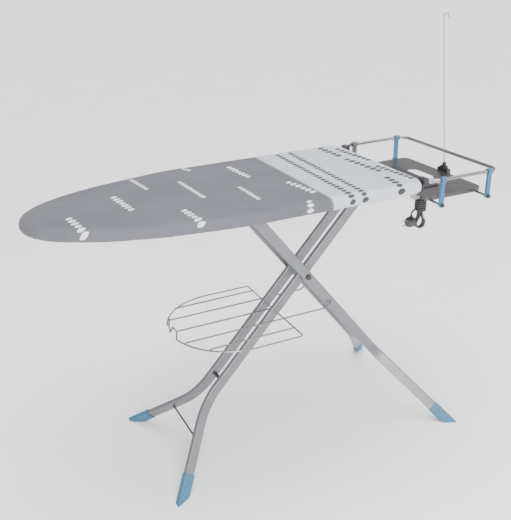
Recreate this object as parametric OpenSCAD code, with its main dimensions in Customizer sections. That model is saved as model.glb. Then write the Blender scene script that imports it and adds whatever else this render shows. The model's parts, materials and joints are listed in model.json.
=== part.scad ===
// Folding ironing board with a steam-iron rest, a wire laundry shelf and a flex holder.
// Lengths are in millimetres. The origin is on the floor, under the middle of the footprint.
// Inside the modules X is measured from the leg pivot: -X towards the nose, +X towards the iron rest.

/* [Board] */
// Distance from the leg pivot to the tip of the nose
nose_reach = 857; // [845:1:865]
// Distance from the leg pivot to the squared end
tail_reach = 309; // [306:1:312]
// Half of the full width of the board
half_width = 268; // [262:1:272]
// Height of the ironing surface above the floor
board_top = 900; // [899:1:901]
// Depth of the padded edge
edge_depth = 34; // [34:1:36]
// Corner radius of the squared end
tail_corner = 62; // [50:1:75]
// Where the grey cloth meets the reflective cloth, from the pivot
zone_seam = -30; // [-60:1:20]

/* [Legs] */
// Height of the pivot bolt above the floor
pivot_height = 572; // [571:1:573]
// Slope of the inner leg pair from the floor
inner_slope = 47.1; // [47:0.1:47.2]
// Slope of the outer leg pair from the floor
outer_slope = 51.9; // [51.8:0.1:52]
// Height of the top hinge rod and of the latch rod
hinge_height = 845; // [844:1:846]
// Tube depth in the plane of the legs
tube_depth = 33; // [32:0.5:34]
// Tube thickness across the board
tube_thick = 17; // [16:0.5:17]
// Wall of the steel tube
tube_wall = 1.2; // [1.2:0.1:2]
// Offset of each inner tube from the middle
inner_offset = 33; // [32:0.5:34]
// Offset of each outer tube from the middle
outer_offset = 64; // [63.5:0.5:65]
// Distance from the pivot to the bend of an inner tube
inner_bend_at = 465; // [460:1:470]
// Distance from the pivot to the bend of an outer tube
outer_bend_at = 388; // [384:1:392]
// Bend angle of the inner tubes
inner_splay = 39.5; // [38:0.5:40]
// Bend angle of the outer tubes
outer_splay = 37; // [36:0.5:38]

/* [Iron rest] */
// Near edge of the tray, from the pivot
tray_start = 342; // [340:1:346]
// Far edge of the tray, from the pivot
tray_end = 574; // [570:1:576]
// Half of the tray width
tray_half = 207; // [200:1:210]
// Height of the tray surface
tray_top = 824; // [823:1:825]
// Height of the middle of the guard rail
rail_height = 890; // [886:1:894]
// Outer radius of the guard rail tube
rail_radius = 5.5; // [5:0.5:6]
// Offset of the rail sides from the middle
rail_side = 248; // [246:1:252]
// Far end of the rail, from the pivot
rail_end = 590; // [588:1:594]

/* [Laundry shelf] */
// Radius of the shelf wire
wire_radius = 2.5; // [2:0.25:3]
// Half of the shelf width
shelf_half = 204; // [200:1:206]
// Height of the shelf wires
shelf_height = 445; // [444:1:446]

/* [Flex holder] */
// Length of the flex rod above its holder
rod_length = 498; // [450:5:520]
// Lean of the flex rod towards the board
rod_lean = 5.76; // [4:0.1:7]

/* [Hidden] */
$fn = 48;

steel_grey = [0.55, 0.56, 0.58];
bright_wire = [0.75, 0.76, 0.78];
dark_plastic = [0.12, 0.12, 0.13];
socket_grey = [0.8, 0.81, 0.82];
foot_blue = [0.36, 0.6, 0.75];
hammer_grey = [0.42, 0.42, 0.44];
cloth_grey = [0.45, 0.45, 0.49];
cloth_silver = [0.83, 0.85, 0.88];

// Levels of the board's layers
cloth = 3;
frame_low = board_top - edge_depth;
plate_low = board_top - 15;
plate_thick = 1;
pad_low = plate_low + plate_thick;
rail_low = plate_low - 15;

// Leg geometry that follows from the slopes
rise = hinge_height - pivot_height;
inner_up = rise / sin(inner_slope);
outer_up = rise / sin(outer_slope);
hinge_x = inner_up * cos(inner_slope);
latch_x = -outer_up * cos(outer_slope);
tube_inside = 2 * tube_wall;
tube_round = 4;
top_tail = 15;
bend_radius_inner = 200;
bend_radius_outer = 130;
pin_radius = 4;
running_gap = 0.05;
latch_radius = 5;

// Shelf hinge, on the outer legs below the pivot
shelf_drop = 106;
shelf_hinge_x = shelf_drop / tan(outer_slope);
shelf_hinge_z = pivot_height - shelf_drop;
shelf_hinge_at = shelf_drop / sin(outer_slope);
shelf_edge_x = -91.6;
shelf_round_x = -250;
arm_offset = 82;
outer_bar_offset = 153;

// Iron rest
tray_sheet = 1.5;
tray_depth = 12;
near_post_x = 372;
far_post_x = 556;
cross_rod_radius = 4;
cross_rod_z = tray_top - tray_depth - cross_rod_radius - 0.2;
arm_side = 170;
rod_base = [581, 0, 853];
flex_radius = 1.6;

// Socket in the tray
socket_x = 462;
socket_y = -86;
socket_size = 44;
socket_low = 801;
socket_high = 829;

// Cord
gland_x = 474;
gland_low = 781;
cord_radius = 3;
cord_side = -70;
cord_lead_route = [
    [474, -70, 785], [474, -70, 778], [472.5, -68.3, 771], [468.5, -63.7, 763], [463.5, -58, 754],
    [458.5, -52.3, 745], [454.5, -47.7, 737], [453, -46, 730], [453, -47.5, 720], [453, -53, 708]
];
cord_tail_route = [[417, -59.1, 724], [403, -66.4, 722.5], [400, -68, 711]];
hank_x = 435;
hank_low = 660;
hank_high = 798;
hank_half = 18;
hank_radius = 21;
plug_radius = 18;
plug_side = -68;
plug_height = 688;

// The middle of the footprint lies this far from the pivot
centre_x = (rail_end + rail_radius - nose_reach) / 2;

module place() {
    translate([-centre_x, 0, 0]) children();
}

// ---- Outline of the board ----

nose_steps = 28;
corner_steps = 8;
taper_start = -300;
nose_pull = 224;

function bezier(a, b, c, d, t) =
    pow(1 - t, 3) * a + 3 * pow(1 - t, 2) * t * b + 3 * (1 - t) * t * t * c + pow(t, 3) * d;

// The taper leaves the straight side smoothly and meets the nose at a right angle
function taper(t) = [
    bezier(taper_start, taper_start - 12, -nose_reach, -nose_reach, t),
    bezier(half_width, half_width, nose_pull, 0, t)
];

function half_outline() = concat(
    [for (i = [0:corner_steps])
        let (a = 90 * i / corner_steps)
        [tail_reach - tail_corner + tail_corner * cos(a), half_width - tail_corner + tail_corner * sin(a)]],
    [for (i = [0:nose_steps]) taper(i / nose_steps)]
);

function full_outline() = let (h = half_outline(), n = len(h)) concat(
    h,
    [for (i = [1:n - 1]) [h[n - 1 - i][0], -h[n - 1 - i][1]]]
);

function inward(p, i) =
    let (n = len(p), d = p[(i + 1) % n] - p[(i + n - 1) % n])
    [-d[1], d[0]] / norm(d);

function outline(inset) = let (p = full_outline()) [for (i = [0:len(p) - 1]) p[i] + inset * inward(p, i)];

module slab(inset, low, high) {
    translate([0, 0, low]) linear_extrude(high - low) polygon(outline(inset));
}

module ring(outer_inset, inner_inset, low, high) {
    translate([0, 0, low]) linear_extrude(high - low) difference() {
        polygon(outline(outer_inset));
        polygon(outline(inner_inset));
    }
}

// ---- Shared shapes ----

module rounded_section(w, h, r) {
    square([w - 2 * r, h], center = true);
    square([w, h - 2 * r], center = true);
    for (x = [-1, 1], y = [-1, 1]) translate([x * (w / 2 - r), y * (h / 2 - r)]) circle(r, $fn = 24);
}

module slot_shape(length, width) {
    square([length - width, width], center = true);
    for (x = [-1, 1]) translate([x * (length - width) / 2, 0]) circle(width / 2);
}

// A round bar between two points
module bar(a, b, r) {
    d = b - a;
    translate(a)
        rotate([0, acos(d[2] / norm(d)), atan2(d[1], d[0])])
            cylinder(h = norm(d), r = r, $fn = 24);
}

// A round wire through a list of points, with slightly fuller ball corners
module wire(points, r) {
    for (i = [0:len(points) - 2]) bar(points[i], points[i + 1], r);
    for (i = [1:len(points) - 2]) ball(points[i], r);
}

module ball(p, r) {
    translate(p) sphere(r * 1.06, $fn = 24);
}

// A round rod along Y
module rod_y(x, z, y0, y1, r) {
    translate([x, y0, z]) rotate([-90, 0, 0]) cylinder(h = y1 - y0, r = r);
}

// A plate in the XZ plane, cut from an outline of [x, z] points
module plate_xz(y0, y1) {
    translate([0, y1, 0]) rotate([90, 0, 0]) linear_extrude(y1 - y0) children();
}

// ---- Cover, pad and frame ----

module cover_shell() {
    difference() {
        slab(0, frame_low, board_top);
        slab(cloth, frame_low - 1, board_top - cloth);
    }
    ring(0, 34, frame_low - 3, frame_low);
}

module cover_front() {
    color(cloth_grey) place() intersection() {
        cover_shell();
        translate([-1000, -500, 0]) cube([1000 + zone_seam, 1000, 1000]);
    }
}

module cover_rear() {
    color(cloth_silver) place() intersection() {
        cover_shell();
        translate([zone_seam, -500, 0]) cube([1000, 1000, 1000]);
    }
}

module draw_cord() {
    color("white") place() ring(34, 37, frame_low - 3, frame_low);
}

module underpad() {
    color("beige") place() slab(cloth + 0.5, pad_low, board_top - cloth);
}

module top_plate() {
    vent_pitch = 60;
    vent_radius = 22;
    color(steel_grey) place() difference() {
        slab(8, plate_low, pad_low);
        for (row = [-3:3], column = [0:15]) {
            x = -740 + vent_pitch * column + (row % 2 == 0 ? 0 : vent_pitch / 2);
            if (abs(row) < 2 || x > -600 + 60 * abs(row))
                if (x < 270)
                    translate([x, row * 62, plate_low - 1]) cylinder(h = 4, r = vent_radius, $fn = 6);
        }
    }
}

// A pressed channel round the edge, open inwards
module rim_frame() {
    rim_low = frame_low + 0.5;
    rim_sheet = 1.2;
    color(steel_grey) place() difference() {
        ring(9, 27, rim_low, plate_low);
        ring(9 + rim_sheet, 28, rim_low + rim_sheet, plate_low - rim_sheet);
    }
}

// A channel across the frame, open downwards
module cross_rail(x, half_length) {
    color(steel_grey) place() difference() {
        translate([x - 15, -half_length, rail_low]) cube([30, 2 * half_length, plate_low - rail_low]);
        translate([x - 13, -half_length - 1, rail_low - 1])
            cube([26, 2 * half_length + 2, plate_low - rail_low - 1]);
    }
}

module nose_cross_rail() {
    cross_rail(-500, 205);
}

module mid_cross_rail() {
    cross_rail(-150, half_width - 28);
}

module hinge_cross_rail() {
    cross_rail(hinge_x, half_width - 40);
}

// ---- Height rack and lever ----

rack_side = 84;
rack_sheet = 3;
slot_low = hinge_height - latch_radius - 2.5;
slot_high = hinge_height + latch_radius + 5;
lever_pin_x = -170;
lever_pin_z = 848;
lever_y = rack_side + 7;

module rack_plate() {
    slot_width = slot_high - slot_low;
    slot_right = latch_x + latch_radius + 1.5;
    slot_left = latch_x - 259;
    difference() {
        union() {
            plate_xz(rack_side, rack_side + rack_sheet)
                polygon([
                    [-515, 828], [-185, 828], [-135, 838], [-80, 858], [-80, rail_low], [-515, rail_low]
                ]);
            translate([-515, rack_side, rail_low - 3]) cube([435, 16, 3]);
        }
        plate_xz(rack_side - 1, rack_side + rack_sheet + 1)
            translate([(slot_left + slot_right) / 2, (slot_low + slot_high) / 2])
                slot_shape(slot_right - slot_left, slot_width);
        if ($children > 0) children();
    }
}

module rack_front() {
    color(steel_grey) place() mirror([0, 1, 0]) rack_plate();
}

module rack_back() {
    color(steel_grey) place() rack_plate()
        rod_y(lever_pin_x, lever_pin_z, rack_side - 1, rack_side + 5, pin_radius);
}

module lever_pin() {
    color(bright_wire) place() {
        rod_y(lever_pin_x, lever_pin_z, rack_side - 4, lever_y + 5, pin_radius);
        rod_y(lever_pin_x, lever_pin_z, lever_y + 5, lever_y + 7.5, 7);
    }
}

module height_lever() {
    tooth_pitch = 36;
    grip_x = 60;
    color(steel_grey) place() {
        difference() {
            plate_xz(lever_y, lever_y + 3) {
                polygon(concat(
                    [[-474, 822], [-160, 822], [grip_x + 6, 834], [grip_x + 6, 848], [-160, 858], [-182, 858],
                     [-190, 834]],
                    [for (i = [0:7], p = [[0, 830], [-6, 837], [-20, 830]])
                        [-200 - tooth_pitch * i + p[0], p[1]]]
                ));
            }
            rod_y(lever_pin_x, lever_pin_z, lever_y - 1, lever_y + 4, pin_radius + running_gap);
        }
        rod_y(grip_x, 841, lever_y + 3, 160, 4);
    }
}

module lever_grip() {
    color(dark_plastic) place() difference() {
        union() {
            rod_y(60, 841, 112, 212, 8);
            translate([60, 212, 841]) sphere(8);
        }
        rod_y(60, 841, 111, 160, 4);
    }
}

module lever_spring() {
    color(bright_wire) place()
        translate([-100, lever_y + 1.5, 0]) difference() {
            translate([0, 0, 856]) cylinder(h = 10.5, r = 4.5);
            translate([0, 0, 855]) cylinder(h = 13, r = 3);
        }
}

// ---- Top hinge of the inner legs ----

module hinge_bracket() {
    difference() {
        plate_xz(43.2, 46.2)
            polygon([[239, rail_low], [240, 838], [246, 832], [262, 832], [267, 838], [268, rail_low]]);
        rod_y(hinge_x, hinge_height, 42, 48, pin_radius);
    }
}

module hinge_bracket_front() {
    color(steel_grey) place() mirror([0, 1, 0]) hinge_bracket();
}

module hinge_bracket_back() {
    color(steel_grey) place() hinge_bracket();
}

module hinge_rod() {
    color(bright_wire) place() {
        rod_y(hinge_x, hinge_height, -46.2, 46.2, pin_radius);
        for (side = [0, 1]) mirror([0, side, 0]) rod_y(hinge_x, hinge_height, 46.2, 49, 7);
    }
}

// ---- Legs ----

// Children are drawn with +X down the leg from the pivot and Z across the leg's plane
module inner_leg_frame() {
    translate([0, 0, pivot_height]) rotate([0, 180 - inner_slope, 0]) children();
}

module outer_leg_frame() {
    translate([0, 0, pivot_height]) rotate([0, outer_slope, 0]) children();
}

// The run of one tube, with the given width, depth and corner: straight, bent outwards and straight again.
// The splayed end is a hair fuller and starts inside the bend, so that the two join cleanly.
module tube_run(up, bend_at, offset, radius, angle, lower, w, h, r) {
    bend_x = bend_at + radius * sin(angle);
    bend_y = offset + radius * (1 - cos(angle));
    fuller = 0.1;
    translate([-up, offset, 0]) rotate([90, 0, 90]) linear_extrude(up + bend_at) rounded_section(w, h, r);
    translate([bend_at, offset + radius, 0]) rotate([0, 0, -90])
        rotate_extrude(angle = angle, $fn = 96) translate([radius, 0]) rounded_section(w, h, r);
    translate([bend_x, bend_y, 0]) rotate([0, 0, angle]) translate([-0.5, 0, 0]) rotate([90, 0, 90])
        linear_extrude(lower + 0.5) rounded_section(w + fuller, h + fuller, r);
}

// Length of the splayed end, so that its lowest corner stops inside the foot
function lower_length(slope, bend_at, radius, angle) =
    ((pivot_height - 4 - tube_depth / 2 * cos(slope)) / sin(slope)
        - tube_thick / 2 * sin(angle) - bend_at - radius * sin(angle)) / cos(angle);

module steel_tube(up, bend_at, offset, radius, angle, lower) {
    difference() {
        tube_run(up, bend_at, offset, radius, angle, lower, tube_thick, tube_depth, tube_round);
        tube_run(up + 1, bend_at, offset, radius, angle, lower + 1,
            tube_thick - tube_inside, tube_depth - tube_inside, tube_round - tube_wall);
        if ($children > 0) children();
    }
}

inner_lower = lower_length(inner_slope, inner_bend_at, bend_radius_inner, inner_splay);
outer_lower = lower_length(outer_slope, outer_bend_at, bend_radius_outer, outer_splay);

module inner_tube() {
    steel_tube(
        inner_up + top_tail, inner_bend_at, inner_offset, bend_radius_inner, inner_splay, inner_lower
    ) {
        rod_y(0, 0, 20, 46, pin_radius);
        rod_y(-inner_up, 0, 20, 46, pin_radius + running_gap);
    }
}

module outer_tube() {
    steel_tube(
        outer_up + top_tail, outer_bend_at, outer_offset, bend_radius_outer, outer_splay, outer_lower
    ) {
        rod_y(0, 0, 50, 78, pin_radius + running_gap);
        rod_y(-outer_up, 0, 50, 78, latch_radius);
        rod_y(shelf_hinge_at, 0, outer_offset, 78, wire_radius + 0.08);
    }
}

module leg_inner_front() {
    color(steel_grey) place() mirror([0, 1, 0]) inner_leg_frame() mirror([0, 0, 1]) inner_tube();
}

module leg_inner_back() {
    color(steel_grey) place() inner_leg_frame() mirror([0, 0, 1]) inner_tube();
}

module leg_outer_front() {
    color(steel_grey) place() mirror([0, 1, 0]) outer_leg_frame() outer_tube();
}

module leg_outer_back() {
    color(steel_grey) place() outer_leg_frame() outer_tube();
}

// A plastic boot over the tube end, cut off level with the floor
module foot_cap(slope, bend_at, offset, radius, angle, lower) {
    bend_x = bend_at + radius * sin(angle);
    bend_y = offset + radius * (1 - cos(angle));
    overlap = 46;
    place() intersection() {
        translate([0, 0, pivot_height]) rotate([0, slope, 0])
            translate([bend_x, bend_y, 0]) rotate([0, 0, angle]) rotate([90, 0, 90]) difference() {
                translate([0, 0, lower - overlap]) linear_extrude(overlap + 70)
                    rounded_section(tube_thick + 5, tube_depth + 5, 6);
                translate([0, 0, lower - overlap - 1]) linear_extrude(overlap + 1.2)
                    rounded_section(tube_thick + 0.2, tube_depth + 0.2, tube_round + 0.05);
            }
        translate([-1000, 0, 0]) cube([2000, 500, 200]);
    }
}

module inner_foot() {
    foot_cap(180 - inner_slope, inner_bend_at, inner_offset, bend_radius_inner, inner_splay, inner_lower);
}

module outer_foot() {
    foot_cap(outer_slope, outer_bend_at, outer_offset, bend_radius_outer, outer_splay, outer_lower);
}

module foot_inner_front() {
    color(foot_blue) mirror([0, 1, 0]) inner_foot();
}

module foot_inner_back() {
    color(foot_blue) inner_foot();
}

module foot_outer_front() {
    color(foot_blue) mirror([0, 1, 0]) outer_foot();
}

module foot_outer_back() {
    color(foot_blue) outer_foot();
}

inner_outside = inner_offset + tube_thick / 2;
inner_inside = inner_offset - tube_thick / 2;
outer_inside = outer_offset - tube_thick / 2;
outer_outside = outer_offset + tube_thick / 2;

module pivot_bolt() {
    color(bright_wire) place() rod_y(0, pivot_height, -outer_outside - 3, outer_outside + 3, pin_radius);
}

// A sleeve between the inner tubes and a washer stack on each side of them
module pivot_spacers() {
    color(bright_wire) place() difference() {
        union() {
            rod_y(0, pivot_height, -inner_inside, inner_inside, 8);
            for (side = [0, 1]) mirror([0, side, 0])
                rod_y(0, pivot_height, inner_outside, outer_inside - 0.3, 11);
        }
        rod_y(0, pivot_height, -80, 80, pin_radius);
    }
}

module pivot_caps() {
    color(dark_plastic) place() for (side = [0, 1]) mirror([0, side, 0]) difference() {
        rod_y(0, pivot_height, outer_outside + 0.3, outer_outside + 6, 9);
        rod_y(0, pivot_height, outer_outside, outer_outside + 3, pin_radius);
    }
}

leg_spacer_at = 445;
leg_brace_at = 633;

module leg_spacer_pin() {
    color(dark_plastic) place() inner_leg_frame()
        rod_y(leg_spacer_at, 0, -inner_inside, inner_inside, 6);
}

function splay_offset(d, bend_at, offset, radius, angle) =
    offset + radius * (1 - cos(angle)) + (d - bend_at - radius * sin(angle)) * tan(angle);

module leg_brace() {
    reach = splay_offset(leg_brace_at, inner_bend_at, inner_offset, bend_radius_inner, inner_splay) - 6;
    color(dark_plastic) place() inner_leg_frame() rod_y(leg_brace_at, 0, -reach, reach, 3);
}

module latch_rod() {
    color(bright_wire) place() rod_y(latch_x, hinge_height, -100, 100, latch_radius);
}

// ---- Laundry shelf ----

catch_back = 17;
catch_front = 11;

// The rim's round end is open between these two angles, where the catch bridges it
module shelf_rim() {
    corner = 10;
    color(bright_wire) place() translate([0, 0, shelf_height]) {
        for (side = [0, 1]) mirror([0, side, 0]) {
            bar([shelf_round_x, shelf_half, 0], [shelf_edge_x - corner, shelf_half, 0], wire_radius);
            translate([shelf_edge_x - corner, shelf_half - corner, 0])
                rotate_extrude(angle = 90, $fn = 48) translate([corner, 0]) circle(wire_radius, $fn = 24);
        }
        bar([shelf_edge_x, -shelf_half + corner, 0], [shelf_edge_x, shelf_half - corner, 0], wire_radius);
        for (side = [0, 1]) mirror([0, side, 0]) translate([shelf_round_x, 0, 0]) rotate([0, 0, 90])
            rotate_extrude(angle = 90 - (side == 0 ? catch_back : catch_front), $fn = 96)
                translate([shelf_half, 0]) circle(wire_radius, $fn = 24);
    }
}

// The front arc turns in, doubles back as a hook and ends beside the back arc.
// The shelf clips to the folded legs with it.
module shelf_catch() {
    start = [shelf_round_x - shelf_half * cos(catch_front), -shelf_half * sin(catch_front), 0];
    along = [-sin(catch_front), cos(catch_front), 0];
    color(bright_wire) place() translate([0, 0, shelf_height]) wire([
        start - along, [-431, 8, 0], [-433, 40, 0], [-452, 13, 0], [-438.5, 62, 0], [-422.7, 98.4, 0]
    ], wire_radius);
}

module shelf_bars() {
    z = shelf_height + 2 * wire_radius - 0.2;
    color(bright_wire) place() {
        bar([-434, 0, z], [shelf_edge_x, 0, z], wire_radius);
        for (side = [-1, 1]) {
            y = side * outer_bar_offset;
            start = shelf_round_x - sqrt(pow(shelf_half, 2) - pow(y, 2));
            bar([start, y, z], [shelf_edge_x, y, z], wire_radius);
        }
    }
}

// Two long bars that run on past the shelf, crank up and turn into the outer legs
module shelf_arms() {
    z = shelf_height + 2 * wire_radius - 0.2;
    start = shelf_round_x - sqrt(pow(shelf_half, 2) - pow(arm_offset, 2));
    color(bright_wire) place() for (side = [0, 1]) mirror([0, side, 0]) wire([
        [start, arm_offset, z], [shelf_hinge_x - 26, arm_offset, z],
        [shelf_hinge_x, arm_offset, shelf_hinge_z], [shelf_hinge_x, outer_offset + 2, shelf_hinge_z]
    ], wire_radius);
}

// ---- Iron rest ----

module rest_arm() {
    low = tray_top - tray_sheet - 9;
    high = tray_top - tray_sheet;
    plate_xz(arm_side - 10, arm_side + 10) polygon([
        [230, frame_low - 9], [296, frame_low - 9], [322, low], [tray_end - 6, low],
        [tray_end - 6, high], [330, high], [302, frame_low - 3], [230, frame_low - 3]
    ]);
}

module rest_arm_front() {
    color(steel_grey) place() mirror([0, 1, 0]) rest_arm();
}

module rest_arm_back() {
    color(steel_grey) place() rest_arm();
}

module tray_outline(inset) {
    length = tray_end - tray_start - 2 * inset;
    width = 2 * (tray_half - inset);
    translate([(tray_start + tray_end) / 2, 0]) rounded_section(length, width, 26 - inset);
}

module tray_window() {
    translate([488, 9]) rotate(90) slot_shape(120, 44);
}

// The square hole that the socket drops into, with play all round
module socket_hole(play) {
    translate([socket_x, socket_y]) square(socket_size + 2 * play, center = true);
}

module iron_tray() {
    color(hammer_grey) place() difference() {
        translate([0, 0, tray_top - tray_depth]) linear_extrude(tray_depth) tray_outline(0);
        translate([0, 0, tray_top - tray_depth - 1]) linear_extrude(tray_depth + 1 - tray_sheet)
            tray_outline(tray_sheet);
        translate([0, 0, tray_top - 5]) linear_extrude(10) {
            tray_window();
            socket_hole(0.1);
        }
        for (side = [0, 1]) mirror([0, side, 0])
            translate([tray_start - 1, arm_side - 10.2, tray_top - tray_depth - 1])
                cube([5, 20.4, tray_depth + 1 - tray_sheet]);
    }
}

// A heat-proof plastic mat between the board and the slot, cut out round the socket
module tip_guard() {
    color(dark_plastic) place() translate([0, 0, tray_top]) linear_extrude(4) difference() {
        translate([407, 0]) rounded_section(116, 250, 14);
        socket_hole(1.5);
    }
}

module cross_rod(x) {
    color(bright_wire) place() rod_y(x, cross_rod_z, -rail_side - 8, rail_side + 8, cross_rod_radius);
}

module cross_rod_near() {
    cross_rod(near_post_x);
}

module cross_rod_far() {
    cross_rod(far_post_x);
}

module rod_end_caps() {
    color(foot_blue) place() for (x = [near_post_x, far_post_x], side = [0, 1]) mirror([0, side, 0])
        difference() {
            rod_y(x, cross_rod_z, rail_side + 5.5, rail_side + 11, 6);
            rod_y(x, cross_rod_z, rail_side + 5, rail_side + 8, cross_rod_radius);
        }
}

// A post with a clip around the rail and an eye around the cross rod
module post(x, side) {
    color(foot_blue) place() mirror([0, side, 0]) difference() {
        union() {
            translate([x - 9, rail_side, rail_height]) rotate([0, 90, 0]) cylinder(h = 18, r = 9.5);
            translate([x - 7.5, rail_side - 4, cross_rod_z]) cube([15, 8, rail_height - cross_rod_z]);
            rod_y(x, cross_rod_z, rail_side - 5, rail_side + 5.5, 8);
        }
        translate([x - 10, rail_side, rail_height]) rotate([0, 90, 0]) cylinder(h = 20, r = rail_radius);
        rod_y(x, cross_rod_z, rail_side - 6, rail_side + 6, cross_rod_radius);
    }
}

module post_near_front() {
    post(near_post_x, 1);
}

module post_near_back() {
    post(near_post_x, 0);
}

module post_far_front() {
    post(far_post_x, 1);
}

module post_far_back() {
    post(far_post_x, 0);
}

rail_corner = 30;
rail_root_x = 318;
rail_root_y = 226;

module guard_rail() {
    color(bright_wire) place() translate([0, 0, rail_height]) {
        for (side = [0, 1]) mirror([0, side, 0]) {
            wire([[rail_root_x, rail_root_y, 0], [near_post_x - 14, rail_side, 0],
                  [rail_end - rail_corner, rail_side, 0]], rail_radius);
            translate([rail_end - rail_corner, rail_side - rail_corner, 0])
                rotate_extrude(angle = 90, $fn = 64)
                    translate([rail_corner, 0]) circle(rail_radius, $fn = 24);
        }
        bar([rail_end, -rail_side + rail_corner, 0], [rail_end, rail_side - rail_corner, 0], rail_radius);
    }
}

// A black block outside the board end that holds the root of the rail
module rail_bracket() {
    difference() {
        union() {
            translate([tail_reach + 0.5, 208, rail_height - 10]) cube([17, 30, 18]);
            translate([tail_reach + 0.5, 210, frame_low - 12]) cube([5, 22, rail_height - frame_low + 4]);
            translate([tail_reach - 49, 208, frame_low - 12]) cube([50, 24, 8]);
        }
        translate([0, 0, rail_height])
            bar([rail_root_x, rail_root_y, 0], [near_post_x - 14, rail_side, 0], rail_radius);
    }
}

module rail_bracket_front() {
    color(dark_plastic) place() mirror([0, 1, 0]) rail_bracket();
}

module rail_bracket_back() {
    color(dark_plastic) place() rail_bracket();
}

// ---- Flex holder ----

module rod_frame() {
    translate(rod_base) rotate([0, -rod_lean, 0]) children();
}

module flex_holder() {
    color(dark_plastic) place() difference() {
        union() {
            translate([tray_end + 0.2, -26, 800]) cube([15, 52, 34]);
            translate([tray_end + 0.2, -12, 834]) cube([15, 24, 8]);
            rod_frame() translate([0, 0, -22]) cylinder(h = 22, r = 7);
            translate([tray_end - 22, -20, 800]) cube([22.2, 40, 8]);
        }
        rod_frame() translate([0, 0, -36]) cylinder(h = 40, r = flex_radius + running_gap);
        rod_y(far_post_x, cross_rod_z, -21, 21, cross_rod_radius);
    }
}

module flex_rod() {
    hook = 10;
    color(bright_wire) place() rod_frame() {
        bar([0, 0, -35.5], [0, 0, rod_length - hook], flex_radius);
        ball([0, 0, rod_length - hook], flex_radius);
        translate([hook, 0, rod_length - hook]) rotate([90, 0, 0]) rotate([0, 0, -30])
            rotate_extrude(angle = 210, $fn = 48) translate([hook, 0]) circle(flex_radius, $fn = 24);
    }
}

// ---- Socket and cord ----

// A square socket let into the tray, with a round well for the iron's plug and two contact holes
module socket_box() {
    color(socket_grey) place() translate([socket_x, socket_y, 0]) difference() {
        translate([-socket_size / 2, -socket_size / 2, socket_low])
            cube([socket_size, socket_size, socket_high - socket_low]);
        translate([0, 0, socket_high - 17]) cylinder(h = 18, r = 18);
        for (x = [-9.5, 9.5]) translate([x, 0, socket_low + 3]) cylinder(h = 20, r = 2.4, $fn = 24);
    }
}

// The tapered sleeve where the cord leaves the underside of the socket
module cord_gland() {
    color(dark_plastic) place() translate([gland_x, cord_side, gland_low]) difference() {
        cylinder(h = socket_low - gland_low, r1 = 4.2, r2 = 6);
        translate([0, 0, -1]) cylinder(h = 5, r = cord_radius);
    }
}

function heading(route, i) =
    let (a = route[max(i - 1, 0)], b = route[min(i + 1, len(route) - 1)])
    (b - a) / norm(b - a);

cord_sides = 8;

// A tube swept along a route
module swept_cord(points) {
    rings = [for (i = [0:len(points) - 1])
        let (h = heading(points, i), side = cross(h, [0, 1, 0]))
        let (across = side / norm(side), over = cross(across, h))
        for (k = [0:cord_sides - 1])
            let (a = 360 * k / cord_sides)
            points[i] + cord_radius * (cos(a) * across + sin(a) * over)];
    last = len(points) - 1;
    faces = concat(
        [[for (k = [0:cord_sides - 1]) k]],
        [for (i = [0:last - 1], k = [0:cord_sides - 1])
            let (n = (k + 1) % cord_sides)
            [i * cord_sides + n, i * cord_sides + k, (i + 1) * cord_sides + k, (i + 1) * cord_sides + n]],
        [[for (k = [cord_sides - 1:-1:0]) last * cord_sides + k]]
    );
    polyhedron(rings, faces, convexity = 4);
}

module cord_lead() {
    color(dark_plastic) place() swept_cord(cord_lead_route);
}

module cord_tail() {
    color(dark_plastic) place() wire(cord_tail_route, cord_radius);
}

module cord_hank() {
    height = hank_high - hank_low;
    color(dark_plastic) place() plate_xz(cord_side - hank_half, cord_side + hank_half)
        translate([hank_x, (hank_low + hank_high) / 2]) rotate(90) slot_shape(height, 2 * hank_radius);
}

// An angled earthed plug: the pins point towards the board and the cord enters from above
module mains_plug() {
    color(dark_plastic) place() {
        translate([384, plug_side, plug_height]) rotate([0, 90, 0]) cylinder(h = 29, r = plug_radius);
        translate([400, plug_side, plug_height + 14]) cylinder(h = 9, r1 = 8, r2 = 5);
    }
}

module plug_pins() {
    color(bright_wire) place() for (z = [-9.5, 9.5])
        translate([365, plug_side, plug_height + z]) rotate([0, 90, 0]) cylinder(h = 19, r = 2.4);
}

cover_front();
cover_rear();
draw_cord();
underpad();
top_plate();
rim_frame();
nose_cross_rail();
mid_cross_rail();
hinge_cross_rail();
rack_front();
rack_back();
hinge_bracket_front();
hinge_bracket_back();
hinge_rod();
height_lever();
lever_grip();
lever_pin();
lever_spring();
leg_inner_front();
leg_inner_back();
pivot_bolt();
pivot_spacers();
pivot_caps();
leg_spacer_pin();
leg_brace();
foot_inner_front();
foot_inner_back();
leg_outer_front();
leg_outer_back();
latch_rod();
foot_outer_front();
foot_outer_back();
shelf_rim();
shelf_bars();
shelf_arms();
shelf_catch();
rest_arm_front();
rest_arm_back();
iron_tray();
tip_guard();
cross_rod_near();
cross_rod_far();
rod_end_caps();
post_near_front();
post_near_back();
post_far_front();
post_far_back();
guard_rail();
rail_bracket_front();
rail_bracket_back();
flex_holder();
flex_rod();
socket_box();
cord_gland();
cord_lead();
cord_hank();
cord_tail();
mains_plug();
plug_pins();
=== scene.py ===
import json
import math
import random

import bmesh
import bpy
from mathutils import Matrix, Vector, geometry
from mathutils.bvhtree import BVHTree


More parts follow.
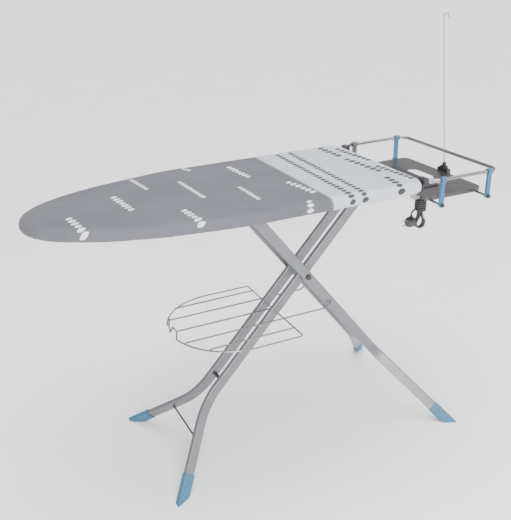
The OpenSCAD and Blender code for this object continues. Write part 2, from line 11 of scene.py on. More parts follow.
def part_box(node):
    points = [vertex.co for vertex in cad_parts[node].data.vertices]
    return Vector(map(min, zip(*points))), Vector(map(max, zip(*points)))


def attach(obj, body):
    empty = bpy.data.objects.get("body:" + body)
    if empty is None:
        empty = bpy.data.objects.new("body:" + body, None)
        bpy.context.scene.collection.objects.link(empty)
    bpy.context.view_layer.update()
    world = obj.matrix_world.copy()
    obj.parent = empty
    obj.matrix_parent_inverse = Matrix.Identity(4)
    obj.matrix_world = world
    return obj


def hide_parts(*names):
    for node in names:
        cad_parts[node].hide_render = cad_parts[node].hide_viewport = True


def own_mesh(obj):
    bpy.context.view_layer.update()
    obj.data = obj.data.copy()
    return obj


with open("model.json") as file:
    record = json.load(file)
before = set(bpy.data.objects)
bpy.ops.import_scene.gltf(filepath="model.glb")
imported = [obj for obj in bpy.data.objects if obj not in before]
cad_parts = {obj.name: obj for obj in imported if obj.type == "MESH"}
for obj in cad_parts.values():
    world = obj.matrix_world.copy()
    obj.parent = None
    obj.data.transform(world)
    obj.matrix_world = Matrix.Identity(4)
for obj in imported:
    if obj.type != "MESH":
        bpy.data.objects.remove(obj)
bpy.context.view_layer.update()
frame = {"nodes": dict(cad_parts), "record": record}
nodes = frame["nodes"]

# ---- Camera ----
# A 51 mm lens stands beyond the nose, a little above the board's top.
# It looks down and along the board, with a slight tilt.
camera = bpy.data.objects.new("camera", bpy.data.cameras.new("camera"))
bpy.context.scene.collection.objects.link(camera)
camera.data.lens = 51.23
yaw, pitch, roll = math.radians(25.3), math.radians(23.4), math.radians(-1.4)
ahead = Vector((math.sin(yaw) * math.cos(pitch), math.cos(yaw) * math.cos(pitch), -math.sin(pitch)))
level = Vector((math.cos(yaw), -math.sin(yaw), 0))
right = math.cos(roll) * level + math.sin(roll) * level.cross(ahead)
axes = Matrix((right, right.cross(ahead), -ahead)).transposed()
camera.matrix_world = Matrix.Translation((-0.95195, -1.966, 1.578)) @ axes.to_4x4()
bpy.context.scene.camera = camera

# ---- Mains cord ----
# A black rubber flex under the socket: three long loops, bound by six and a half wraps of its own end.
# It leaves through a ribbed sleeve and ends in an angled moulded plug that hangs beside the loops.
cord_thick = 0.006
pivot_x = (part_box("pivot_bolt")[0].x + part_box("pivot_bolt")[1].x) / 2
hank_at = Vector((pivot_x + 0.435, -0.070, 0))
gland_low, gland_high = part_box("cord_gland")
cord_exit = Vector(((gland_low.x + gland_high.x) / 2, (gland_low.y + gland_high.y) / 2, gland_low.z))


def start_finish(name, roughness, metallic=0.0, **constants):
    """A new material with its Principled shader, whose constants sit on its own sockets."""
    finish = bpy.data.materials.new(name)
    finish.use_nodes = True
    shader = finish.node_tree.nodes["Principled BSDF"]
    shader.inputs["Roughness"].default_value = roughness
    shader.inputs["Metallic"].default_value = metallic
    for socket, value in constants.items():
        shader.inputs[socket.replace("_", " ")].default_value = value
    return finish, finish.node_tree, shader


def add_node(tree, kind, inputs, **settings):
    """A shader node whose inputs are given as plain values or as other nodes' outputs."""
    node = tree.nodes.new("ShaderNode" + kind)
    for name, value in settings.items():
        setattr(node, name, value)
    for name, value in inputs.items():
        if isinstance(value, bpy.types.NodeSocket):
            tree.links.new(value, node.inputs[name])
        else:
            node.inputs[name].default_value = value
    return node


def object_place(tree, stretch=(1, 1, 1), turn=(0, 0, 0)):
    """Object coordinates in metres, stretched and turned for a pattern."""
    place = add_node(tree, "TexCoord", {})
    return add_node(tree, "Mapping", {
        "Vector": place.outputs["Object"], "Scale": stretch, "Rotation": turn}).outputs["Vector"]


def grain(tree, scale, detail=3.0, stretch=(1, 1, 1)):
    """Noise with the given number of grains in a metre."""
    return add_node(tree, "TexNoise", {
        "Vector": object_place(tree, stretch), "Scale": scale, "Detail": detail}).outputs["Fac"]


def tint(tree, shader, factor, low, high, spread=(0.3, 0.7)):
    """Colours the surface from one tone to another by a pattern."""
    ramp = add_node(tree, "ValToRGB", {"Fac": factor})
    ramp.color_ramp.elements[0].position, ramp.color_ramp.elements[1].position = spread
    ramp.color_ramp.elements[0].color = (*low, 1)
    ramp.color_ramp.elements[1].color = (*high, 1)
    tree.links.new(ramp.outputs["Color"], shader.inputs["Base Color"])


def gloss_range(tree, shader, factor, low, high):
    """Lets the roughness wander between two values."""
    reach = add_node(tree, "MapRange", {"Value": factor, "To Min": low, "To Max": high})
    tree.links.new(reach.outputs["Result"], shader.inputs["Roughness"])


def relief(tree, shader, heights):
    """Raises the surface by several patterns, each (height, depth in metres)."""
    normal = None
    for height, depth in heights:
        bump = add_node(tree, "Bump", {"Height": height, "Distance": depth, "Strength": 1.0})
        if normal:
            tree.links.new(normal, bump.inputs["Normal"])
        normal = bump.outputs["Normal"]
    tree.links.new(normal, shader.inputs["Normal"])


def moulded(name, dark, light, roughness, grains=900, **constants):
    """A moulded plastic with a fine spark-eroded grain and slow changes of gloss."""
    finish, tree, shader = start_finish(name, roughness, **constants)
    tint(tree, shader, grain(tree, 14), dark, light)
    gloss_range(tree, shader, grain(tree, 35), roughness - 0.08, roughness + 0.1)
    relief(tree, shader, [(grain(tree, grains, 2.0), 0.00012), (grain(tree, 40), 0.0003)])
    return finish


def new_piece(name, mesh, finish, body, slot, *replaced):
    """Turns a finished bmesh into a piece that rides on a body and stands for CAD nodes."""
    data = bpy.data.meshes.new(name)
    mesh.to_mesh(data)
    mesh.free()
    data.materials.append(finish)
    piece = bpy.data.objects.new(name, data)
    bpy.context.scene.collection.objects.link(piece)
    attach(piece, body)
    if replaced:
        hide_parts(*replaced)
    return piece


def turn_profile(mesh, profile, centre, axis, steps=40):
    """Spins a profile of (distance along, radius) round an axis into a closed turned shape."""
    axis = Vector(axis).normalized()
    side = axis.orthogonal().normalized()
    verts = [mesh.verts.new(Vector(centre) + axis * along + side * radius) for along, radius in profile]
    edges = [mesh.edges.new(pair) for pair in zip(verts, verts[1:])]
    bmesh.ops.spin(mesh, geom=verts + edges, cent=centre, axis=axis, angle=math.tau, steps=steps, use_merge=True)


def close_and_smooth(mesh, crease=35):
    """Merges doubles, turns every face outwards and leaves only real corners sharp."""
    bmesh.ops.remove_doubles(mesh, verts=mesh.verts, dist=1e-6)
    bmesh.ops.recalc_face_normals(mesh, faces=mesh.faces)
    for face in mesh.faces:
        face.smooth = True
    for edge in mesh.edges:
        edge.smooth = len(edge.link_faces) == 2 and edge.calc_face_angle(0) < math.radians(crease)


def lay_on(line, heading, moves, across=Vector((1, 0, 0)), drift=0.0):
    """Carries the cord's line on through (length, turn) moves in an upright plane, drifting sideways."""
    step_length = 0.003
    total = sum(length for length, turn in moves)
    for length, turn in moves:
        steps = max(2, round(length / step_length))
        for _ in range(steps):
            heading += turn / steps / 2
            ahead_by = across * math.cos(heading) + Vector((0, 0, math.sin(heading)))
            line.append(line[-1] + ahead_by * length / steps + Vector((0, drift * length / total / steps, 0)))
            heading += turn / steps / 2
    return heading


def fold(radius, flare):
    """A round end loop that flares out of the waist, turns back and closes into the waist again."""
    outward = math.radians(flare)
    back = math.pi + 2 * outward
    return [(radius * outward, outward), (radius * back, -back), (radius * outward, outward)]


down, waist = -math.pi / 2, 0.048
low_fold, low_flare, high_fold, high_flare = 0.018, 50.3, 0.015, 48.2
fold_centre, drift_from = 0.6813, 0.72
last_run, turn_out, turn_way = 0.045, 0.012, Vector((0.94, -0.342, 0))
cord_line = [cord_exit + Vector((0, 0, 0.004))]
shift = Vector((hank_at.x + 0.018 - cord_exit.x, 0.024, 0))
bend = 2 * math.atan2(shift.length, 0.046)
bend_radius = 0.023 / math.sin(bend)
heading = lay_on(cord_line, down, [(0.004, 0)])
heading = lay_on(cord_line, heading, [(bend_radius * bend, bend), (bend_radius * bend, -bend)],
                 across=shift.normalized())
heading = lay_on(cord_line, heading, [(cord_line[-1].z - drift_from, 0)])
heading = lay_on(cord_line, heading, [(cord_line[-1].z - fold_centre, 0)], drift=-0.018)
low_turn = fold(low_fold, low_flare)
half_turn = [(low_fold * math.pi, -math.pi)]
close_in = [(low_fold * math.radians(low_flare), -math.radians(low_flare)), low_turn[2]]
heading = lay_on(cord_line, heading, half_turn + close_in + [(waist, 0)])
for loop in range(2):
    heading = lay_on(cord_line, heading, fold(high_fold, high_flare) + [(waist, 0)] + low_turn[:1], drift=-0.006)
    first = math.radians(low_flare)
    heading = lay_on(cord_line, heading, [(low_fold * first, -first)] + half_turn)
    heading = lay_on(cord_line, heading, close_in + [(waist if loop == 0 else last_run, 0)])
heading = lay_on(cord_line, heading, [(turn_out * math.pi / 2, -math.pi / 2)], across=turn_way)
out_from = cord_line[-1] - hank_at
plug_low, plug_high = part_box("mains_plug")
plug_side = (plug_low.y + plug_high.y) / 2
boss_at = Vector((pivot_x + 0.400, plug_side, plug_high.z))
aside = (boss_at - hank_at).xy
wrap_radius, wrap_high, wrap_low, whole_wraps = 0.018, cord_line[-1].z, 0.724, 6
wrap_from = math.atan2(out_from.y, out_from.x)
wrap_to = math.atan2(aside.y, aside.x) % math.tau - math.acos(wrap_radius / aside.length) + whole_wraps * math.tau
wrap_steps = 240
loose = out_from.xy.length
for step in range(1, wrap_steps + 1):
    share = step / wrap_steps
    turned = wrap_from + (wrap_to - wrap_from) * share
    tight = min(1.0, share * 12)
    radius = loose + (wrap_radius - loose) * tight
    cord_line.append(Vector((hank_at.x + radius * math.cos(turned), hank_at.y + radius * math.sin(turned),
                             wrap_high + (wrap_low - wrap_high) * share)))
to_boss = (boss_at - cord_line[-1]).xy
drop_radius = 0.013
lay_on(cord_line, 0, [(to_boss.length - drop_radius, 0), (drop_radius * math.pi / 2, -math.pi / 2),
                      (wrap_low - drop_radius - boss_at.z + 0.004, 0)],
       across=Vector((*to_boss.normalized(), 0)))
for _ in range(4):
    cord_line = [cord_line[0]] + [
        (a + 2 * b + c) / 4 for a, b, c in zip(cord_line, cord_line[1:], cord_line[2:])] + [cord_line[-1]]

rubber, tree, shader = start_finish("cord_rubber", 0.5, Specular_IOR_Level=0.45)
tint(tree, shader, grain(tree, 60), (0.022, 0.022, 0.024), (0.05, 0.05, 0.053))
gloss_range(tree, shader, grain(tree, 90), 0.38, 0.6)
relief(tree, shader, [(grain(tree, 700, 2.0), 0.0001)])

curve = bpy.data.curves.new("mains_cord", "CURVE")
curve.dimensions = "3D"
curve.bevel_depth = cord_thick / 2
curve.bevel_resolution = 3
curve.use_fill_caps = True
spline = curve.splines.new("NURBS")
spline.points.add(len(cord_line) - 1)
for point, place in zip(spline.points, cord_line):
    point.co = (*place, 1)
spline.order_u = 4
spline.use_endpoint_u = True
spline.resolution_u = 2
curve.materials.append(rubber)
mains_cord = bpy.data.objects.new("mains_cord", curve)
bpy.context.scene.collection.objects.link(mains_cord)
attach(mains_cord, "board")
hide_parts("cord_lead", "cord_hank", "cord_tail")

plug_plastic = moulded("plug_plastic", (0.03, 0.03, 0.032), (0.05, 0.05, 0.053), 0.5)
mesh = bmesh.new()
body_length, body_radius = plug_high.x - plug_low.x, (plug_high.y - plug_low.y) / 2
plug_axis = Vector((plug_low.x, plug_side, plug_low.z + body_radius))
ribs = [(0.011 + 0.0022 * step, body_radius - (0.0012 if step % 2 else 0.0001)) for step in range(6)]
turn_profile(mesh, [(0, 0), (0, body_radius - 0.004), (0.0015, body_radius - 0.0025), (0.004, body_radius - 0.002),
                    (0.0075, body_radius), *ribs, (0.025, body_radius - 0.001),
                    (body_length - 0.001, body_radius - 0.004), (body_length, body_radius - 0.007),
                    (body_length, 0)], plug_axis, (1, 0, 0))
sleeve = [(0.0155 + 0.0012 * step, 0.0076 - 0.0004 * step - (0.001 if step % 2 else 0)) for step in range(6)]
turn_profile(mesh, [(0.004, 0), (0.004, 0.009), (0.0145, 0.009), *sleeve, (0.023, 0.0048), (0.023, 0)],
             (boss_at.x, plug_side, plug_axis.z), (0, 0, 1), steps=24)
close_and_smooth(mesh)
mains_plug = new_piece("mains_plug_moulding", mesh, plug_plastic, "board", "black_plastic", "mains_plug")

mesh = bmesh.new()
gland_length = gland_high.z - gland_low.z
rib_count = 9
sleeve = [(gland_length * step / rib_count, 0.0042 + 0.0018 * step / rib_count - (0.0009 if step % 2 else 0))
          for step in range(rib_count + 1)]
turn_profile(mesh, [(0, 0.0031), *sleeve, (gland_length, 0)], cord_exit, (0, 0, 1), steps=24)
close_and_smooth(mesh)
cord_sleeve = new_piece("cord_sleeve", mesh, plug_plastic, "board", "black_plastic", "cord_gland")

nickel, tree, shader = start_finish("nickel_plate", 0.25, 1.0)
tint(tree, shader, grain(tree, 50), (0.62, 0.6, 0.56), (0.75, 0.73, 0.7))
gloss_range(tree, shader, grain(tree, 120), 0.18, 0.35)
relief(tree, shader, [(grain(tree, 300, 2.0), 0.00005)])
nodes["plug_pins"].data.materials.clear()
nodes["plug_pins"].data.materials.append(nickel)

# ---- Cover ----
# A padded cloth cover in two zones, grey cotton and silvered cloth, joined by a flat felled seam.
# It is drawn tight over the felt and gathered under the board by an elastic tape in its hem.
seam_x = (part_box("cover_front")[1].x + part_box("cover_rear")[0].x) / 2
cover_top, cover_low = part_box("cover_front")[1].z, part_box("cover_front")[0].z
corners = {(round(v.co.x, 5), round(v.co.y, 5)) for name in ("cover_front", "cover_rear")
           for v in nodes[name].data.vertices if v.co.z > cover_top - 1e-4}
corners = [Vector(corner) for corner in corners]
hull = [corners[index] for index in geometry.convex_hull_2d(corners)]
outline = []
for start, end in zip(hull, hull[1:] + hull[:1]):
    cuts = max(1, round((end - start).length / 0.008))
    outline += [start.lerp(end, cut / cuts) for cut in range(cuts)]
for _ in range(3):
    outline = [(a + 2 * b + c) / 4
               for a, b, c in zip(outline[-1:] + outline[:-1], outline, outline[1:] + outline[:1])]
spine_from, spine_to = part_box("cover_front")[0].x + 0.13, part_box("cover_rear")[1].x - 0.2
creases = random.Random(7)
waves = [(creases.uniform(9, 60), creases.uniform(0, math.tau), creases.uniform(-1, 1)) for _ in range(14)]


def cloth_ripple(x, y, along, hem):
    """Small slack of tensioned cloth on top, growing into gathers round the hem."""
    slack = sum(math.sin(k * (x * math.cos(turn) + y * math.sin(turn)) + phase)
                for k, turn, phase in waves) * 0.00011
    gathers = math.sin(along * 190 + 2 * math.sin(along * 31)) * (0.6 + 0.4 * math.sin(along * 47))
    return slack, gathers * hem


def drawn_over(rows, rings, ripple=0.0):
    """Sweeps (inset, height, gather) rows round the outline, then closes the top onto a spine."""
    mesh = bmesh.new()
    count = len(outline)
    normals = []
    for index in range(count):
        run = outline[(index + 1) % count] - outline[index - 1]
        normals.append(Vector((-run.y, run.x)).normalized())
    middle = sum(outline, Vector((0, 0))) / count
    if normals[0].dot(middle - outline[0]) < 0:
        normals = [-normal for normal in normals]
    ends = [Vector((min(max(p.x, spine_from), spine_to), 0)) for p in outline]
    run_length = [0.0]
    for a, b in zip(outline, outline[1:]):
        run_length.append(run_length[-1] + (b - a).length)
    loops = []
    for inset, height, gather in rows:
        loop = []
        for p, normal, along in zip(outline, normals, run_length):
            slack, gathers = cloth_ripple(p.x, p.y, along, gather)
            place = p + normal * (inset + gathers * ripple)
            loop.append(mesh.verts.new((*place, height + slack * ripple * 1.4)))
        loops.append(loop)
    last_inset, last_height = rows[-1][:2]
    for ring in range(1, rings + 1):
        share = (ring / rings) ** 0.9
        loop = []
        for p, normal, end, along in zip(outline, normals, ends, run_length):
            place = (p + normal * last_inset).lerp(end, share)
            slack, _ = cloth_ripple(place.x, place.y, along, 0)
            fell = 0.0007 * math.exp(-((place.x - seam_x) / 0.005) ** 2)
            rise = (slack * (1 - share * 0.3) + fell) * ripple
            loop.append(mesh.verts.new((*place, last_height + rise)))
        loops.append(loop)
    for low, high in zip(loops, loops[1:]):
        for index in range(count):
            after = (index + 1) % count
            mesh.faces.new((low[index], low[after], high[after], high[index]))
    bmesh.ops.remove_doubles(mesh, verts=mesh.verts, dist=2e-5)
    bmesh.ops.dissolve_degenerate(mesh, edges=mesh.edges, dist=1e-5)
    bmesh.ops.recalc_face_normals(mesh, faces=mesh.faces)
    if max(mesh.faces, key=lambda face: face.calc_center_median().z).normal.z < 0:
        bmesh.ops.reverse_faces(mesh, faces=mesh.faces)
    for face in mesh.faces:
        face.smooth = True
    return mesh


hem_rows = [(0.034, cover_low + 0.0008, 0.0012), (0.024, cover_low + 0.0005, 0.0016),
            (0.012, cover_low + 0.001, 0.0016), (0.004, cover_low + 0.003, 0.0012),
            (0.0005, cover_low + 0.008, 0.0008), (0.0, cover_low + 0.015, 0.0004),
            (0.0008, cover_low + 0.021, 0.0001), (0.003, cover_top - 0.011, 0), (0.0065, cover_top - 0.0068, 0),
            (0.0115, cover_top - 0.0036, 0), (0.018, cover_top - 0.0015, 0), (0.027, cover_top - 0.0003, 0)]
whole = drawn_over(hem_rows, 22, 1.0)
cloth_tree = BVHTree.FromBMesh(whole)


def cloth_finish(name, dark, light, roughness, metallic, crease_depth):
    """A close plain weave with a faint sheen, soft creases and slow changes of tone."""
    finish, tree, shader = start_finish(name, roughness, metallic, Sheen_Weight=0.04, Sheen_Roughness=0.5)
    tint(tree, shader, grain(tree, 6, 5.0, (1, 1.6, 1)), dark, light, (0.2, 0.8))
    gloss_range(tree, shader, grain(tree, 24), roughness - 0.06, roughness + 0.08)
    weft = add_node(tree, "TexWave", {"Vector": object_place(tree), "Scale": 110.0, "Distortion": 0.4},
                    bands_direction="X").outputs["Fac"]
    warp = add_node(tree, "TexWave", {"Vector": object_place(tree), "Scale": 110.0, "Distortion": 0.4},
                    bands_direction="Y").outputs["Fac"]
    weave = add_node(tree, "Math", {0: weft, 1: warp}, operation="MULTIPLY").outputs[0]
    relief(tree, shader, [(weave, 0.00008), (grain(tree, 26, 4.0, (1, 2.2, 1)), crease_depth),
                          (grain(tree, 7, 2.0, (2.0, 1, 1)), crease_depth * 2.5)])
    return finish


cover_pieces = {}
for name, clear_outer, slot_name, dark, light, roughness, metallic in (
        ("cover_front", True, "grey_cloth", (0.096, 0.099, 0.116), (0.13, 0.133, 0.153), 0.85, 0.0),
        ("cover_rear", False, "reflective_cloth", (0.5, 0.53, 0.58), (0.6, 0.64, 0.69), 0.5, 0.15)):
    mesh = whole.copy()
    bmesh.ops.bisect_plane(mesh, geom=mesh.verts[:] + mesh.edges[:] + mesh.faces[:], dist=1e-6,
                           plane_co=(seam_x, 0, 0), plane_no=(1, 0, 0), clear_outer=clear_outer,
                           clear_inner=not clear_outer)
    cut_area = sum(face.calc_area() for face in mesh.faces)
    reach = max(v.co.x for v in mesh.verts) - min(v.co.x for v in mesh.verts)
    piece = new_piece(name + "_cloth", mesh, cloth_finish(name + "_weave", dark, light, roughness, metallic, 0.0005),
                      "board", slot_name, name)
    thicken = piece.modifiers.new("thickness", "SOLIDIFY")
    thicken.thickness, thicken.offset = 0.0015, -1
    cover_pieces[name] = (piece, cut_area, reach)

tape, tree, shader = start_finish("elastic_tape", 0.8, Sheen_Weight=0.3)
tint(tree, shader, grain(tree, 400), (0.5, 0.5, 0.48), (0.62, 0.61, 0.58))
relief(tree, shader, [(grain(tree, 900, 2.0), 0.0003)])
mesh = drawn_over([(0.0365, cover_low + 0.0004, 0.001), (0.034, cover_low + 0.0002, 0.001),
                   (0.0335, cover_low + 0.0018, 0.001), (0.0365, cover_low + 0.002, 0.001)], 0, 1.0)
hem_tape = new_piece("hem_tape", mesh, tape, "board", "draw_tape", "draw_cord")
thicken = hem_tape.modifiers.new("thickness", "SOLIDIFY")
thicken.thickness, thicken.offset = 0.0006, 0

felt, tree, shader = start_finish("felt_wool", 0.95, Sheen_Weight=0.5)
tint(tree, shader, grain(tree, 220, 6.0), (0.42, 0.4, 0.34), (0.6, 0.58, 0.5))
gloss_range(tree, shader, grain(tree, 60), 0.88, 1.0)
relief(tree, shader, [(grain(tree, 500, 4.0), 0.0005)])
pad_low, pad_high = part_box("underpad")[0].z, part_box("underpad")[1].z
mesh = drawn_over([(0.0075, pad_low, 0), (0.0055, pad_low + 0.0015, 0), (0.0075, pad_high - 0.0065, 0),
                   (0.0125, pad_high - 0.0032, 0), (0.019, pad_high - 0.0013, 0), (0.028, pad_high - 0.0004, 0)], 8)
floor_rim = [edge for edge in mesh.edges if edge.is_boundary and edge.verts[0].co.z < pad_low + 1e-4]
bmesh.ops.contextual_create(mesh, geom=floor_rim)
felt_pad = new_piece("felt_pad", mesh, felt, "board", "felt", "underpad")


def on_cloth(x, y, lift=0.0003):
    """The cloth's surface at a place measured over it, running on down past the board's edge."""
    side, bend = math.copysign(1, y), 0.018
    spans = [(a, b) for a, b in zip(outline, outline[1:] + outline[:1])
             if min(a.x, b.x) <= x <= max(a.x, b.x) and a.x != b.x and a.y * side > 0]
    if not spans:
        return None
    a, b = spans[0]
    at_edge = abs(a.y + (b.y - a.y) * (x - a.x) / (b.x - a.x))
    over = max(0.0, abs(y) - (at_edge - bend))
    lean = min(over / bend, math.pi / 2)
    aim = Vector((0, -side * math.sin(lean), -math.cos(lean)))
    foot = Vector((x, side * min(abs(y), at_edge - bend), cover_top - bend - max(0, over - bend * math.pi / 2)))
    place, normal = cloth_tree.ray_cast(foot - aim * 0.3, aim)[:2]
    return place + normal * lift if place and place.z > cover_low + 0.003 else None


def print_marks(name, marks, tone, slot_name):
    """Prints rows of plain leaf shapes, each laid over the cloth as a very thin skin."""
    ink, tree, shader = start_finish(name + "_ink", 0.6, Sheen_Weight=0.1)
    tint(tree, shader, grain(tree, 90, 5.0), tuple(c * 0.85 for c in tone), tone)
    relief(tree, shader, [(grain(tree, 1200, 2.0), 0.00006)])
    mesh = bmesh.new()
    for x1, y1, x2, y2, high in marks:
        start, end = Vector((pivot_x + x1, y1)), Vector((pivot_x + x2, y2))
        run = (end - start).normalized()
        side = Vector((-run.y, run.x))
        count = max(2, round((end - start).length / (high * 0.86)))
        pitch = (end - start).length / count
        for index in range(count):
            tall = high * (0.5 if index % 3 else 0.42)
            centre = start + run * pitch * (index + 0.5)
            rows = []
            for station in range(9):
                u = station / 8 * 2 - 1
                swell = max(0.03, (1 - u * u) ** 0.7)
                rows.append([centre + side * tall * u + run * pitch * 0.4 * (swell * v / 3 - u * 0.3)
                             for v in range(-3, 4)])
            spots = [[on_cloth(*place) for place in row] for row in rows]
            if any(spot is None for row in spots for spot in row):
                continue
            verts = [[mesh.verts.new(spot) for spot in row] for row in spots]
            for low, high_row in zip(verts, verts[1:]):
                for column in range(6):
                    mesh.faces.new((low[column], low[column + 1], high_row[column + 1], high_row[column]))
    for face in mesh.faces:
        face.smooth = True
        if face.normal.length and (face.normal.z < -0.2 or face.normal.y * face.calc_center_median().y < -0.05):
            face.normal_flip()
    return new_piece(name, mesh, ink, "board", slot_name)


front_prints = print_marks("front_prints", [
    (-0.733, -0.045, -0.714, -0.207, 0.026), (-0.576, 0.071, -0.561, -0.077, 0.026),
    (-0.480, 0.207, -0.465, 0.083, 0.018), (-0.356, 0.112, -0.345, -0.072, 0.018),
    (-0.437, -0.138, -0.425, -0.262, 0.026), (-0.298, 0.241, -0.280, 0.204, 0.018),
    (-0.158, 0.186, -0.148, 0.040, 0.026), (-0.216, -0.026, -0.214, -0.166, 0.018),
    (-0.068, -0.054, -0.045, -0.190, 0.026), (-0.097, -0.240, -0.108, -0.290, 0.022)],
    (0.78, 0.8, 0.84), "grey_cloth")
rear_prints = print_marks("rear_prints", [
    (0.095, 0.237, 0.077, -0.290, 0.024), (0.047, 0.235, 0.034, -0.290, 0.024), (0.218, 0.242, 0.222, 0.103, 0.03),
    (0.262, 0.200, 0.281, 0.012, 0.026), (0.221, 0.075, 0.240, -0.110, 0.03), (0.262, -0.045, 0.282, -0.220, 0.026),
    (0.220, -0.161, 0.203, -0.288, 0.028)], (0.035, 0.038, 0.05), "reflective_cloth")

thread, tree, shader = start_finish("seam_thread", 0.6, Sheen_Weight=0.3)
tint(tree, shader, grain(tree, 500), (0.45, 0.46, 0.5), (0.62, 0.63, 0.67))
relief(tree, shader, [(grain(tree, 2500, 2.0), 0.0001)])
mesh = bmesh.new()
half_width = max(p.y for p in outline if abs(p.x - seam_x) < 0.012)
row_offset, stitch_pitch, thread_radius = 0.0045, 0.0037, 0.00035
for row in (-row_offset, row_offset):
    for index in range(-150, 150):
        ends = [on_cloth(seam_x + row, (index + share) * stitch_pitch, 0.0001) for share in (0.12, 0.85)]
        if abs(index * stitch_pitch) > half_width + 0.018 or None in ends:
            continue
        middle, run = (ends[0] + ends[1]) / 2, ends[1] - ends[0]
        made = bmesh.ops.create_cone(mesh, cap_ends=True, segments=6, radius1=thread_radius,
                                     radius2=thread_radius, depth=run.length)
        bmesh.ops.transform(mesh, verts=made["verts"],
                            matrix=Matrix.Translation(middle) @ run.to_track_quat("Z", "Y").to_matrix().to_4x4())
close_and_smooth(mesh, 60)
stitches = new_piece("seam_stitches", mesh, thread, "board", "grey_cloth")
for name, going_with in (("cover_front", [front_prints, stitches]), ("cover_rear", [rear_prints])):
    piece, cut_area, reach = cover_pieces[name]

# ---- Frame, legs and fittings ----
# Welded steel tube and pressed sheet under paint, and rods and wires with a bright plating.
# Boots, posts, clips and caps are moulded plastic, pushed or snapped on to the metal.


def painted(name, dark, light, roughness, fleck):
    """Powder coat: an orange-peel skin, a fine metal fleck and slightly polished patches."""
    finish, tree, shader = start_finish(name, roughness, 0.55, Coat_Weight=0.2, Coat_Roughness=0.25)
    tint(tree, shader, grain(tree, fleck, 2.0), dark, light, (0.35, 0.65))
    gloss_range(tree, shader, grain(tree, 18, 5.0), roughness - 0.08, roughness + 0.12)
    relief(tree, shader, [(grain(tree, 260, 2.0), 0.00025), (grain(tree, 30), 0.0004)])
    return finish


def plated(name, dark, light, roughness, stretch=(1, 1, 1)):
    """Plated steel: drawing lines, faint tarnish and small changes of gloss."""
    finish, tree, shader = start_finish(name, roughness, 1.0)
    tint(tree, shader, grain(tree, 30, 5.0), dark, light, (0.25, 0.75))
    gloss_range(tree, shader, grain(tree, 90, 4.0, stretch), roughness - 0.06, roughness + 0.14)
    relief(tree, shader, [(grain(tree, 300, 2.0, stretch), 0.00006)])
    return finish


leg_paint = painted("leg_powder_coat", (0.16, 0.163, 0.175), (0.22, 0.224, 0.236), 0.34, 1500)
frame_paint = painted("frame_coat", (0.26, 0.265, 0.28), (0.34, 0.345, 0.36), 0.42, 1200)
chrome = plated("bright_plate", (0.27, 0.255, 0.245), (0.31, 0.295, 0.285), 0.24)
zinc_plate = plated("zinc_plate", (0.25, 0.25, 0.245), (0.4, 0.4, 0.39), 0.32, (1, 6, 1))
boot_blue = moulded("boot_blue", (0.028, 0.12, 0.205), (0.042, 0.152, 0.25), 0.4)
fitting_black = moulded("fitting_black", (0.02, 0.02, 0.022), (0.034, 0.034, 0.036), 0.42)
post_grey = moulded("post_grey", (0.09, 0.1, 0.105), (0.13, 0.14, 0.145), 0.42)
socket_grey = moulded("socket_grey", (0.6, 0.61, 0.63), (0.7, 0.71, 0.73), 0.38)

enamel, tree, shader = start_finish("hammered_enamel", 0.32, 0.35, Coat_Weight=0.4, Coat_Roughness=0.12)
dimples = add_node(tree, "TexVoronoi", {"Vector": object_place(tree), "Scale": 260.0}).outputs["Distance"]
tint(tree, shader, dimples, (0.024, 0.021, 0.021), (0.065, 0.057, 0.056), (0.1, 0.8))
gloss_range(tree, shader, grain(tree, 40, 4.0), 0.24, 0.42)
relief(tree, shader, [(dimples, 0.0006), (grain(tree, 12), 0.0006)])

for finish, names in {
        leg_paint: ["leg_inner_front", "leg_inner_back", "leg_outer_front", "leg_outer_back"],
        frame_paint: ["top_plate", "rim_frame", "nose_cross_rail", "mid_cross_rail", "hinge_cross_rail",
                      "rest_arm_front", "rest_arm_back"],
        zinc_plate: ["hinge_rod", "lever_pin", "pivot_bolt", "pivot_spacers", "latch_rod"],
        chrome: ["cross_rod_near", "cross_rod_far", "guard_rail", "flex_rod", "shelf_rim", "shelf_bars", "shelf_arms",
                 "shelf_catch"],
        enamel: ["iron_tray"],
        fitting_black: ["leg_spacer_pin", "leg_brace", "lever_grip", "rod_end_caps"]}.items():
    for name in names:
        nodes[name].data.materials.clear()
        nodes[name].data.materials.append(finish)


def eased(name, width, finish, crease=28):
    """The same solid with its moulded or pressed edges broken by a small radius."""
    source = nodes[name]
    mesh = bmesh.new()
    mesh.from_mesh(source.data)
    bmesh.ops.remove_doubles(mesh, verts=mesh.verts, dist=2e-5)
    bmesh.ops.dissolve_limit(mesh, angle_limit=math.radians(1), verts=mesh.verts, edges=mesh.edges)
    corners = [edge for edge in mesh.edges
               if len(edge.link_faces) == 2 and edge.calc_face_angle(0) > math.radians(crease)]
    bmesh.ops.bevel(mesh, geom=corners, offset=width, offset_type="OFFSET", segments=2, profile=0.5, affect="EDGES",
                    clamp_overlap=True, material=-1)
    for face in mesh.faces:
        face.smooth = True
    piece = new_piece(name + "_eased", mesh, finish, body_of[name], slot_of[name], name)
    even = piece.modifiers.new("even_shading", "WEIGHTED_NORMAL")
    even.weight = 80
    return piece


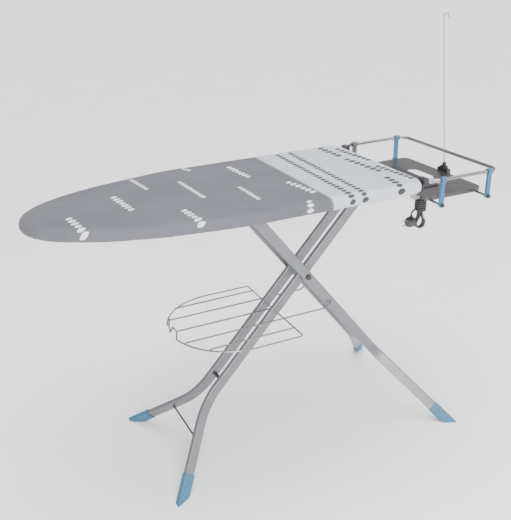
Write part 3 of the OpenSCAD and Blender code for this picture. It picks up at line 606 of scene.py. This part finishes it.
body_of = {name: body for body, names in frame["record"]["behaviour"]["bodies"].items() for name in names}
slot_of = {part["node"]: part["material_slot"] for part in frame["record"]["subparts"]}
for finish, width, names in (
        (boot_blue, 0.0018, ["foot_inner_front", "foot_inner_back", "foot_outer_front", "foot_outer_back"]),
        (boot_blue, 0.0007, ["post_near_front", "post_far_front", "post_far_back"]),
        (post_grey, 0.0007, ["post_near_back"]),
        (fitting_black, 0.0012, ["flex_holder", "rail_bracket_front", "rail_bracket_back", "tip_guard", "pivot_caps"]),
        (socket_grey, 0.0012, ["socket_box"]),
        (frame_paint, 0.0005, ["rack_front", "rack_back", "hinge_bracket_front", "hinge_bracket_back",
                               "height_lever"])):
    for name in names:
        eased(name, width, finish)

# ---- Lever spring ----
# A coil of zinc plated wire, wound round a mandrel and cut to length.
# It stands between the board and the height lever. The real spring shortens as the lever is pressed; here it is one
# fixed coil riding on the board.
spring_low, spring_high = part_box("lever_spring")
coil_radius, wire, coils = (spring_high.x - spring_low.x) / 2 - 0.0008, 0.0008, 7
spring_at = (spring_low + spring_high) / 2
rise = spring_high.z - spring_low.z - 2 * wire
mesh = bmesh.new()
ring = bmesh.ops.create_circle(mesh, cap_ends=False, segments=8, radius=wire)
bmesh.ops.transform(mesh, verts=ring["verts"], matrix=Matrix.Translation(
    (spring_at.x + coil_radius, spring_at.y, spring_low.z + wire)) @ Matrix.Rotation(math.pi / 2, 4, "X"))
steps = coils * 20
edges = mesh.edges[:]
bmesh.ops.spin(mesh, geom=ring["verts"] + edges, cent=(spring_at.x, spring_at.y, 0), axis=(0, 0, 1),
               dvec=(0, 0, rise / steps), angle=math.tau * coils, steps=steps, use_merge=False)
bmesh.ops.holes_fill(mesh, edges=[edge for edge in mesh.edges if edge.is_boundary], sides=0)
close_and_smooth(mesh, 60)
coil = new_piece("lever_spring_coil", mesh, zinc_plate, "board", "zinc", "lever_spring")
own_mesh(coil)

# ---- Floor and light ----
# A plain pale floor runs far behind the object.
# A wide soft light hangs above it, with a key light and a fill light at the sides.
floor_paint, tree, shader = start_finish("floor_paint", 0.75)
tint(tree, shader, grain(tree, 2, 3.0), (0.9, 0.9, 0.895), (0.93, 0.93, 0.925))
mesh = bmesh.new()
bmesh.ops.create_grid(mesh, x_segments=1, y_segments=1, size=40)
data = bpy.data.meshes.new("floor")
mesh.to_mesh(data)
mesh.free()
data.materials.append(floor_paint)
floor = bpy.data.objects.new("floor", data)
bpy.context.scene.collection.objects.link(floor)

for name, kind, place, power, size in (("key", "AREA", (-1.4, -3.6, 1.6), 170, 1.5),
                                       ("fill", "AREA", (3.2, -1.8, 1.5), 40, 1.2),
                                       ("top", "SUN", (0.6, -0.2, 5.0), 4.4, math.radians(70))):
    light = bpy.data.objects.new(name, bpy.data.lights.new(name, kind))
    light.data.energy = power
    setattr(light.data, "size" if kind == "AREA" else "angle", size)
    light.matrix_world = Matrix.Translation(place) @ (
        Vector(place) - Vector((0, 0, 0.5))).to_track_quat("Z", "Y").to_matrix().to_4x4()
    bpy.context.scene.collection.objects.link(light)
world = bpy.data.worlds.new("studio")
bpy.context.scene.world = world
world.use_nodes = True
world.node_tree.nodes["Background"].inputs["Color"].default_value = (0.93, 0.95, 1.0, 1)
world.node_tree.nodes["Background"].inputs["Strength"].default_value = 0.7
